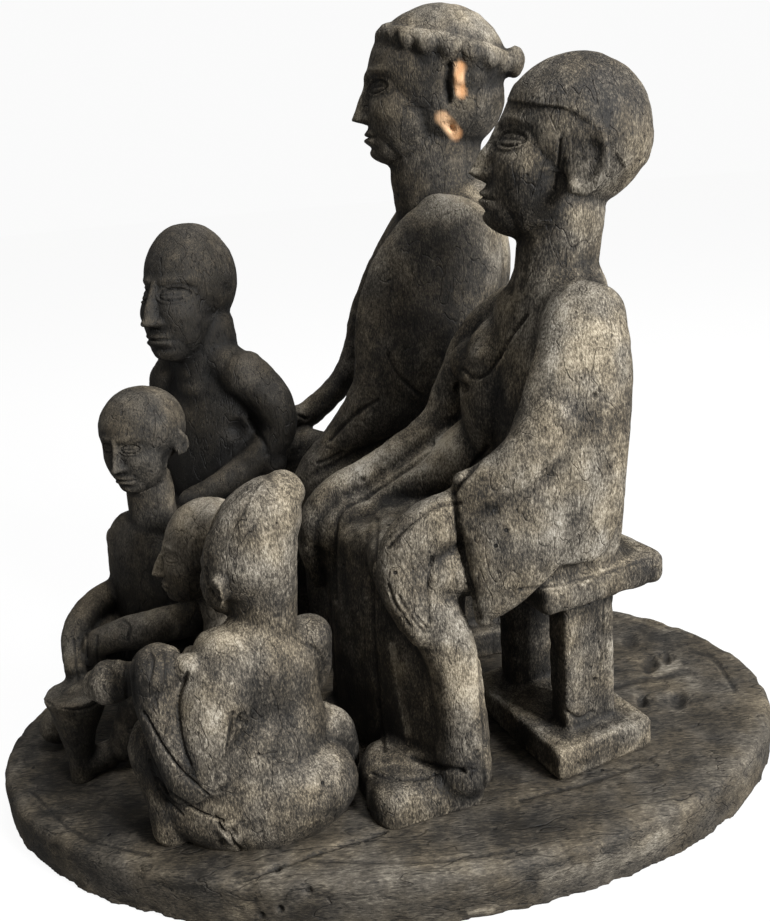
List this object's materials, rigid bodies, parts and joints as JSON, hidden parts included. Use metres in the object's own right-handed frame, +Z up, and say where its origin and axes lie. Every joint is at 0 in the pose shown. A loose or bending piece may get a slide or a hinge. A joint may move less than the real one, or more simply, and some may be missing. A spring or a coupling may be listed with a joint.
{
  "type": "family group sculpture",
  "caption": "Carved dark hardwood family group of seated adults and children fixed on an oval plank base, weathered folk carving.",
  "frame": {"origin": "middle of the oval plank, on the plane it stands on", "axes": "+Z up; the figures face -Y; +X is the group's left side, where the front adult sits"},
  "size_m": [0.255, 0.401, 0.3735],
  "materials": {
    "plank_wood": "dark weathered hardwood board, grain along its length, worn pale rim",
    "worn_figure_wood": "dark carved hardwood dusted pale on its raised faces, dry and matte",
    "dark_figure_wood": "dark carved hardwood, dry and matte, little wear"
  },
  "bodies": {
    "root": {"base_plank": "plank_wood", "front_adult_on_stool": "worn_figure_wood", "capped_adult_on_stool": "dark_figure_wood", "rear_adult": "dark_figure_wood", "front_child": "worn_figure_wood", "second_child": "dark_figure_wood", "child_with_drum": "dark_figure_wood"}
  },
  "joints": []
}
